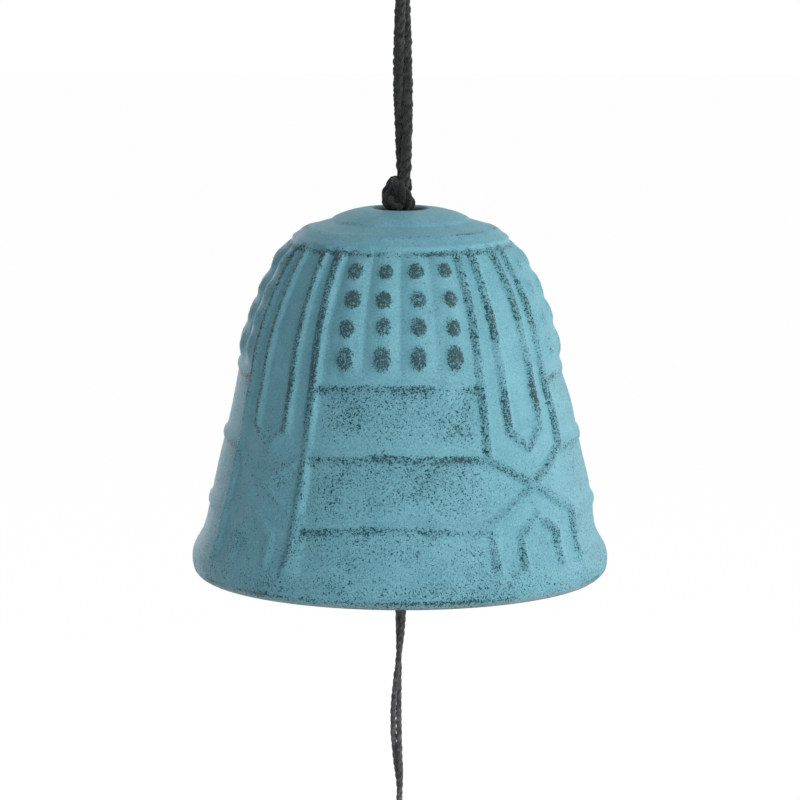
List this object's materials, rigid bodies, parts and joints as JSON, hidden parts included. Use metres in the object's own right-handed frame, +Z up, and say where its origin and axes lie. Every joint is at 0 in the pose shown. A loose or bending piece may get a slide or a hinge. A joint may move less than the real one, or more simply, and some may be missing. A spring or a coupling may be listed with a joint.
{
  "type": "furin wind bell",
  "caption": "Cast iron wind bell shaped like a temple bell, with bosses and raised lines, hung by a knotted cord, with a disc clapper and a paper wind strip.",
  "frame": {"origin": "where the hook carries the inside of the cord's eye", "axes": "+Z up along the hanging cord, +X to the right of the boss panel that faces -Y"},
  "size_m": [0.0654, 0.0654, 0.252],
  "materials": {
    "painted_iron": "matte sky blue paint rubbed through to dark iron",
    "bare_iron": "dark cast iron",
    "steel": "plain washer steel",
    "charcoal_cord": "matte twisted cord",
    "grey_cord": "matte twisted cord",
    "paper": "plain hand-made paper"
  },
  "bodies": {
    "eye": {"hanging_eye": "charcoal_cord"},
    "hanger": {"hanging_cord": "charcoal_cord", "crown_knot": "charcoal_cord", "neck_cord": "charcoal_cord", "stop_knot": "charcoal_cord"},
    "washer": {"crown_washer": "steel"},
    "bell": {"bell_shell": "painted_iron"},
    "clapper": {"clapper_cord": "grey_cord", "clapper": "bare_iron", "clapper_knot": "grey_cord"},
    "tail": {"tail_cord": "grey_cord", "strip_knot": "grey_cord"},
    "strip": {"strip_tie": "grey_cord", "wind_strip": "paper"}
  },
  "joints": [
    {"name": "hang_swing", "type": "hinge", "parent": "eye", "child": "hanger", "pos_m": [0, 0, -0.015], "axis": [0, 1, 0], "range_deg": [-25, 25]},
    {"name": "bell_rock", "type": "hinge", "parent": "hanger", "child": "washer", "pos_m": [0, 0, -0.05761], "axis": [1, 0, 0], "range_deg": [-8, 8]},
    {"name": "bell_turn", "type": "hinge", "parent": "washer", "child": "bell", "pos_m": [0, 0, -0.0539], "axis": [0, 0, 1], "continuous": true},
    {"name": "clapper_swing", "type": "hinge", "parent": "hanger", "child": "clapper", "pos_m": [0, 0, -0.05761], "axis": [0, 1, 0], "range_deg": [-18, 18]},
    {"name": "tail_swing", "type": "hinge", "parent": "clapper", "child": "tail", "pos_m": [0, 0, -0.10361], "axis": [1, 0, 0], "range_deg": [-35, 35]},
    {"name": "strip_turn", "type": "hinge", "parent": "tail", "child": "strip", "pos_m": [0, 0, -0.148], "axis": [0, 0, 1], "continuous": true}
  ]
}
